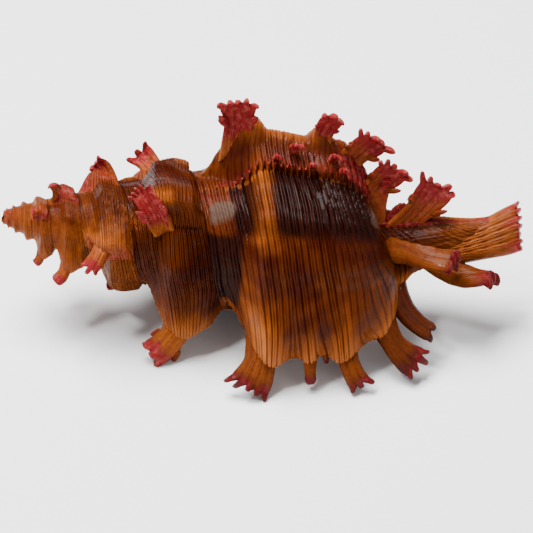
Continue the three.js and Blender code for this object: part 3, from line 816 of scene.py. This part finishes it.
def spire_fronds(build):
    """One shoulder frond on each older ridge, in sizes that follow the whorl, and the leaf."""
    for k, (reach, lobes) in enumerate(SPIRE_ROW):
        if k == LEAF_AT:
            frond(build, root=float(skin(450, LEAF["s"])) - 0.8, **LEAF)
            continue
        g, s = spire_root(k)
        size = (s / 39) ** 0.85
        frond(build, s=s, a=LIP + g - 2, ds=(-0.135 if k == 0 else -0.11) * s,
              da=-16 if k == 4 else -4, r=reach, root=float(skin(g, s)), lobes=lobes,
              wide=10.5 * size, stem=5.6 * size, tip=6 * size, lobe=2 * size,
              thick=2.4 * size + 0.2, blush=0.42, flush=0.25 if k else 0,
              twigs=2 if k < 2 else 0, seed=60 + k)


def sprouts(build):
    """Small three-pronged sprouts on the second ridge's leading face."""
    for k, (s, g, length) in enumerate(SPROUTS):
        root = float(skin(g, s)) - 0.2
        frond(build, s=s, a=LIP + g, da=-6, ds=0.3, r=root + length, root=root,
              wide=0.9 * length, stem=0.5 * length, tip=0.75 * length, lobes=3,
              lobe=0.38 * length, thick=1.0, blush=0.12, seed=40 + k)


def teeth(build):
    """A small pink tooth on most cords of a ridge's edge: a tube of radius * (1 - t^2)^0.5."""
    t = np.linspace(0, 1, 8)
    for crest, long in TEETH:
        g = crest - RIDGE_FRONT - 0.6
        f = (np.arange(int(0.1 * CORDS) + 1, CORDS + 3) + 0.02) / CORDS
        f = f[chance(np.arange(len(f)) + 3) > 0.35]
        k = np.arange(len(f))
        s = place_at(g, f)
        r = (skin(g + 2.0, s) - 0.1)[:, None]
        ahead = long * (0.8 + 0.5 * chance(k))[:, None] * 1.6 * t[None]
        line = place(s[:, None], LIP + g + 2.5 - np.degrees(ahead / r), r - 0.15 + 0.5 * t[None])
        thick = (0.16 + 0.16 * chance(k + 5))[:, None] * np.sqrt(np.maximum(0, 1 - t**2))
        across = np.broadcast_to(np.array([1.0, 0, 0]), line.shape)
        out = unit(np.cross(across, unit(np.gradient(line, axis=1))))
        rose = 0.35 + 0.35 * t[None] + 0 * thick
        tubes(build, line, across, out, thick, thick, 8, cord=0.9, glow=0.3, rose=rose)


# ---- finish ----
class Wiring:
    """Short ways to join a material's nodes."""

    def __init__(self, material):
        material.use_nodes = True
        self.tree = material.node_tree
        self.tree.nodes.clear()

    def put(self, kind, **inputs):
        """A node of one kind with its input values set by name."""
        new = self.tree.nodes.new(kind)
        for name, value in inputs.items():
            new.inputs[name.replace("_", " ")].default_value = value
        return new

    def link(self, a, b):
        """Joins an output to an input."""
        self.tree.links.new(a, b)

    def value(self, name):
        """A point value by its name."""
        n = self.put("ShaderNodeAttribute")
        n.attribute_name = name
        return n.outputs["Fac"]

    def math(self, operation, a, b):
        """a and b, as numbers or outputs, under one operation."""
        n = self.put("ShaderNodeMath")
        n.operation = operation
        for k, x in enumerate((a, b)):
            if isinstance(x, (int, float)):
                n.inputs[k].default_value = x
            else:
                self.link(x, n.inputs[k])
        return n.outputs[0]

    def mix(self, share, a, b):
        """Colour a towards colour b by share."""
        n = self.put("ShaderNodeMix")
        n.data_type = "RGBA"
        for x, k in ((share, 0), (a, 6), (b, 7)):
            if isinstance(x, bpy.types.NodeSocket):
                self.link(x, n.inputs[k])
            else:
                n.inputs[k].default_value = x if k == 0 else (*tuple(x)[:3], 1)
        return n.outputs[2]

    def noise(self, coords, scale, detail=4.0, rough=0.55, stretch=None):
        """Cloudy noise over coords, which may be stretched first."""
        if stretch:
            m = self.put("ShaderNodeMapping", Scale=stretch)
            self.link(coords, m.inputs["Vector"])
            coords = m.outputs[0]
        n = self.put("ShaderNodeTexNoise", Scale=scale, Detail=detail, Roughness=rough)
        self.link(coords, n.inputs["Vector"])
        return n.outputs["Fac"]

    def span(self, x, a, b, lo=0.0, hi=1.0):
        """x from a to b carried smoothly to lo to hi."""
        n = self.put("ShaderNodeMapRange", From_Min=a, From_Max=b, To_Min=lo, To_Max=hi)
        n.interpolation_type = "SMOOTHSTEP"
        self.link(x, n.inputs["Value"])
        return n.outputs["Result"]


def shell_finish(looks):
    """Waxy shell: dark grooves between brown-orange cords, stained bands and painted shade, rose
    tips with partly painted highlights, pale glaze and a porcelain lining, each mixed in by the
    point value of its name; growth lines and grain as bump. Made once and shared by all pieces."""
    if "shell_layers" in bpy.data.materials:
        return bpy.data.materials["shell_layers"]
    m = bpy.data.materials.new("shell_layers")
    w = Wiring(m)
    coords = w.put("ShaderNodeTexCoord").outputs["Object"]
    growth = w.put("ShaderNodeUVMap")
    growth.uv_map = "growth"
    uv = growth.outputs[0]
    cloud = w.noise(coords, 95.0, 3.0)
    speck = w.noise(coords, 900.0, 4.0)
    along = w.noise(uv, 1.0, 4.0, 0.6, stretch=(26.0, 1.1, 1.0))
    cross = w.noise(uv, 1.0, 3.0, 0.6, stretch=(230.0, 0.7, 1.0))
    cord, shade, rose, pale, glow, lining = (w.value(name) for name in Build.LAYERS)
    # cords, then the dark between them
    top = w.mix(w.span(cloud, 0.35, 0.68), looks.cord, looks.cord_light)
    top = w.mix(w.span(glow, 0.0, 0.6, 0, 0.9), top, looks.amber)
    top = w.mix(w.span(glow, 0.45, 1.0, 0, 0.8), top, looks.cream)
    top = w.mix(w.span(along, 0.45, 0.75, 0, 0.45), top, looks.groove)
    # mixed in by shade: the stained bands' own colour, and painted shade along the seams, in the
    # slit and on shaded fronds
    stained = w.mix(w.span(cord, 0.2, 1.0, 0.0, 0.75), looks.stain_and_shade, looks.cord_in_stain_and_shade)
    top = w.mix(w.span(shade, 0.12, 0.9, 0, 0.92), top, stained)
    # grooves darker by shade too: stain, partly painted shade
    dark = w.mix(w.span(shade, 0.1, 0.95), looks.groove, looks.stain_and_shade)
    dark = w.mix(w.span(glow, 0.2, 1.0, 0, 0.6), dark, looks.cord)
    dark = w.mix(0.30, dark, top)
    body = w.mix(w.span(cord, 0.12, 0.85), dark, top)
    # rose tips, deep red in their hollows
    blush = w.mix(w.span(cord, 0.3, 0.95), looks.deep_rose, looks.rose)
    # lighter salmon flecks on the tips, partly painted highlights
    blush = w.mix(w.span(speck, 0.46, 0.72, 0, 0.4), blush, looks.rose_light)
    # deeper red by shade on the fronds: dark tips, partly painted shade on low fronds in shadow
    blush = w.mix(w.span(shade, 0.3, 0.95, 0, 0.8), blush, looks.deep_rose)
    body = w.mix(w.span(rose, 0.05, 0.85), body, blush)
    # glaze and lining
    body = w.mix(w.span(pale, 0.2, 0.75, 0, 0.93), body, looks.callus)
    inside = w.mix(w.span(cloud, 0.35, 0.7, 0, 0.5), looks.lining, looks.lining_blush)
    body = w.mix(w.span(lining, 0.3, 0.9), body, inside)
    shader = w.put(
        "ShaderNodeBsdfPrincipled", IOR=1.5, Specular_IOR_Level=0.04, Coat_Weight=0.055,
        Coat_Roughness=0.12, Subsurface_Weight=0.06, Subsurface_Radius=(1.0, 0.45, 0.3),
        Subsurface_Scale=0.0012,
    )
    w.link(body, shader.inputs["Base Color"])
    rough = w.span(speck, 0.3, 0.75, looks.gloss_low, looks.gloss_high)
    w.link(rough, shader.inputs["Roughness"])
    # bump: growth lines across the cords, threads, grain; none inside the mouth
    number = w.put("ShaderNodeSeparateXYZ")
    w.link(uv, number.inputs[0])
    thread = w.math("PINGPONG", w.math("MULTIPLY", number.outputs[1], 4.0), 0.5)
    threads = w.math("ADD", w.math("MULTIPLY", thread, 0.5), w.math("MULTIPLY", cross, 0.8))
    grained = w.math("ADD", threads, w.math("MULTIPLY", speck, 0.35))
    relief = w.math("MULTIPLY", grained, w.math("SUBTRACT", 1.0, lining))
    bump = w.put("ShaderNodeBump", Strength=0.55, Distance=0.00028)
    w.link(relief, bump.inputs["Height"])
    w.link(bump.outputs[0], shader.inputs["Normal"])
    w.link(shader.outputs[0], w.put("ShaderNodeOutputMaterial").inputs["Surface"])
    return m


def matt_finish(name, tint):
    """Even matt finish with a faint unevenness."""
    m = bpy.data.materials.new(name)
    w = Wiring(m)
    coords = w.put("ShaderNodeTexCoord").outputs["Object"]
    shader = w.put("ShaderNodeBsdfPrincipled", Roughness=0.9)
    tone = w.mix(w.span(w.noise(coords, 3.0), 0.3, 0.7), tint, tuple(c * 0.985 for c in tint))
    w.link(tone, shader.inputs["Base Color"])
    w.link(shader.outputs[0], w.put("ShaderNodeOutputMaterial").inputs["Surface"])
    return m


# ---- settings ----
def colour(name, about, value):
    """A colour setting."""
    return bpy.props.FloatVectorProperty(
        name=name, description=about, default=value, size=3, subtype="COLOR", min=0, max=1
    )


def number(name, about, value, **more):
    """A number setting."""
    return bpy.props.FloatProperty(name=name, description=about, default=value, **more)


class MurexLooks(bpy.types.PropertyGroup):
    """Colours and gloss of the shell."""

    cord: colour("Cord", "Brown-orange of the spiral cords", (0.038, 0.0041, 0.0003))
    cord_light: colour("Light cord", "Lighter tan of the cords", (0.080, 0.0140, 0.0008))
    amber: colour("Amber", "Bright orange near ridges and frond roots", (0.26, 0.060, 0.0060))
    cream: colour("Cream", "Palest orange of the sweeps behind the fronds", (0.40, 0.115, 0.024))
    groove: colour("Groove", "Dark red-brown between the cords", (0.0110, 0.0006, 0.0003))
    # These two colours fill the stained bands, and also the painted shade along the seams, in the
    # canal's slit, on the hidden inner sheets and on shaded fronds.
    stain_and_shade: colour("Stain", "Purple-brown of the stained bands", (0.0036, 0.0003, 0.0002))
    cord_in_stain_and_shade: colour("Dust", "Brown of the cords in the stained bands", (0.014, 0.0018, 0.0006))
    rose: colour("Rose", "Rose of the frond tips", (0.20, 0.011, 0.012))
    # lighter salmon flecks on the frond tips, partly painted highlights
    rose_light: colour("Light rose", "Salmon flecks on the tips", (0.44, 0.105, 0.078))
    deep_rose: colour("Deep rose", "Dark red in hollows of the fronds", (0.050, 0.0010, 0.0016))
    callus: colour("Callus", "Pale grey-white glaze", (0.066, 0.038, 0.026))
    lining: colour("Lining", "Porcelain white of the mouth", (0.80, 0.74, 0.66))
    lining_blush: colour("Lining blush", "Faint pink of the mouth", (0.78, 0.60, 0.52))
    gloss_low: number(
        "Smooth spots", "Roughness of the glossiest spots", 0.36, min=0, max=1, subtype="FACTOR"
    )
    gloss_high: number(
        "Dull spots", "Roughness of the dullest spots", 0.58, min=0, max=1, subtype="FACTOR"
    )


class MurexStage(bpy.types.PropertyGroup):
    """Floor, lights and camera."""

    floor: colour("Floor", "Pale floor", (0.86, 0.86, 0.86))
    floor_size: number("Floor size", "Side of the square floor", 6.0, min=0.5, unit="LENGTH")
    elevation: number(
        "Elevation", "Height angle of the camera", float(np.radians(39)), subtype="ANGLE"
    )
    lens: number("Lens", "Focal length in millimetres", 220.0, min=20)
    view_width: number("View width", "Width seen at the shell", 0.1070, min=0.01, unit="LENGTH")
    key: number("Key light", "Power of the large top light in watts", 15.0, min=0)
    fill: number("Fill light", "Power of the front fill in watts", 1.0, min=0)
    spark: number("Spark light", "Power of the small light for glints in watts", 1.6, min=0)
    sky: number("Sky", "Strength of the even light from all round", 0.42, min=0)


# lamps: setting, place and width in metres
LAMPS = [
    ("key", (-0.12, 0.10, 0.62), 0.42),
    ("fill", (0.35, -0.60, 0.40), 0.5),
    ("spark", (-0.22, -0.16, 0.50), 0.07),
]
LAMP_AIM = (0, 0, 0.02)
SKY = (0.95, 0.97, 1.0, 1)
CAMERA_AIM = (0.0003, -0.0048, 0.0173)
SENSOR = 36.0  # mm


# ---- operators ----
def make(context, name, *steps):
    """One piece from steps that each add to its build."""
    build = Build()
    for step in steps:
        step(build)
    return build.finish(name, shell_finish(context.scene.murex_looks))


class MUREX_OT_last_whorl(bpy.types.Operator):
    """Last whorl: seam to canal tip over one turn, with the flat front and the mouth's throat"""

    bl_idname, bl_label = "murex.last_whorl", "Last whorl and canal"

    def execute(self, context):
        make(context, "last_whorl", last_whorl)
        return {"FINISHED"}


class MUREX_OT_second_whorl(bpy.types.Operator):
    """Second whorl: growth 360 to 720 by the share of the whorl's height"""

    bl_idname, bl_label = "murex.second_whorl", "Second whorl"

    def execute(self, context):
        turn = columns(360, 720, 1.8, 0.6)
        make(context, "second_whorl", lambda b: coil_wall(b, turn, np.linspace(0, 1, 200)))
        return {"FINISHED"}


class MUREX_OT_spire(bpy.types.Operator):
    """Spire: growth 720 to 2880 by the share of each whorl's height, down to the pointed apex"""

    bl_idname, bl_label = "murex.spire", "Spire"

    def execute(self, context):
        wide, fine = columns(720, 1440, 2.6, 0.9), columns(1440, 2880, 4.0, 2.0)
        make(
            context, "spire",
            lambda b: coil_wall(b, wide, np.linspace(0, 1, 130)),
            lambda b: coil_wall(b, fine, np.linspace(0, 1, 44)),
        )
        return {"FINISHED"}


class MUREX_OT_fronds(bpy.types.Operator):
    """Fronds of every ridge and of the canal: hollowed ribbed blades that part into fingers"""

    bl_idname, bl_label = "murex.fronds", "Fronds"

    def execute(self, context):
        # per row: the low first row darker and the top second row lighter, partly painted shade and
        # painted light
        make(
            context, "fronds_first_row",
            lambda b: row(b, FIRST_ROW, 0, blush=0.5, dull=0.65, curl=0.25),
        )
        make(
            context, "fronds_second_row",
            lambda b: row(b, SECOND_ROW, 1, blush=0.43, flush=0.27, dull=-0.6),
            sprouts, teeth,
        )
        make(
            context, "fronds_third_row",
            lambda b: row(b, THIRD_ROW, 2, blush=0.5, dull=0.55, flush=0.1),
        )
        make(context, "fronds_spire", spire_fronds)
        canal = [{**dict(seed=80 + k, blush=0.45), **spec} for k, spec in enumerate(CANAL_ROW)]
        make(context, "fronds_canal", *(lambda b, spec=spec: frond(b, **spec) for spec in canal))
        return {"FINISHED"}


class MUREX_OT_stage(bpy.types.Operator):
    """Stage: pale floor, soft top light and fill, and the camera"""

    bl_idname, bl_label = "murex.stage", "Stage"

    def execute(self, context):
        stage = context.scene.murex_stage
        half = stage.floor_size / 2
        corners = [(-half, -half, 0), (half, -half, 0), (half, half, 0), (-half, half, 0)]
        mesh = bpy.data.meshes.new("floor")
        mesh.from_pydata(corners, [], [(0, 1, 2, 3)])
        mesh.materials.append(matt_finish("floor_matt", tuple(stage.floor)))
        floor = bpy.data.objects.new("floor", mesh)
        context.scene.collection.objects.link(floor)
        world = bpy.data.worlds.new("studio")
        world.use_nodes = True
        sky = world.node_tree.nodes["Background"]
        sky.inputs[0].default_value = SKY
        sky.inputs[1].default_value = stage.sky
        context.scene.world = world
        for name, where, size in LAMPS:
            light = bpy.data.lights.new(name, "AREA")
            light.shape, light.size, light.energy = "DISK", size, getattr(stage, name)
            lamp = bpy.data.objects.new(name, light)
            lamp.location = where
            lamp.rotation_euler = facing(Vector(LAMP_AIM) - Vector(where))
            context.scene.collection.objects.link(lamp)
        camera = bpy.data.cameras.new("camera")
        camera.lens, camera.sensor_width = stage.lens, SENSOR
        away = Vector((0, -np.cos(stage.elevation), np.sin(stage.elevation)))
        body = bpy.data.objects.new("camera", camera)
        body.location = Vector(CAMERA_AIM) + away * (stage.view_width * stage.lens / SENSOR)
        body.rotation_euler = facing(-away)
        context.scene.collection.objects.link(body)
        context.scene.camera = body
        return {"FINISHED"}


def facing(direction):
    """The turn that points a lamp or camera along direction."""
    return direction.to_track_quat("-Z", "Y").to_euler()


class MUREX_PT_panel(bpy.types.Panel):
    """Lists the shell's pieces, the stage and their settings"""

    bl_idname, bl_label = "MUREX_PT_panel", "Murex shell"
    bl_space_type, bl_region_type, bl_category = "VIEW_3D", "UI", "Murex"

    def draw(self, context):
        for operator in OPERATORS:
            self.layout.operator(operator.bl_idname)
        for group in (context.scene.murex_looks, context.scene.murex_stage):
            for name in group.bl_rna.properties.keys():
                if name not in ("rna_type", "name"):
                    self.layout.prop(group, name)


OPERATORS = (
    MUREX_OT_last_whorl,
    MUREX_OT_second_whorl,
    MUREX_OT_spire,
    MUREX_OT_fronds,
    MUREX_OT_stage,
)
CLASSES = (MurexLooks, MurexStage, *OPERATORS, MUREX_PT_panel)


def register():
    for cls in CLASSES:
        bpy.utils.register_class(cls)
    bpy.types.Scene.murex_looks = bpy.props.PointerProperty(type=MurexLooks)
    bpy.types.Scene.murex_stage = bpy.props.PointerProperty(type=MurexStage)


def unregister():
    del bpy.types.Scene.murex_stage
    del bpy.types.Scene.murex_looks
    for cls in reversed(CLASSES):
        bpy.utils.unregister_class(cls)


def main():
    register()
    bpy.ops.murex.last_whorl()
    bpy.ops.murex.second_whorl()
    bpy.ops.murex.spire()
    bpy.ops.murex.fronds()
    bpy.ops.murex.stage()


if __name__ == "__main__":
    main()
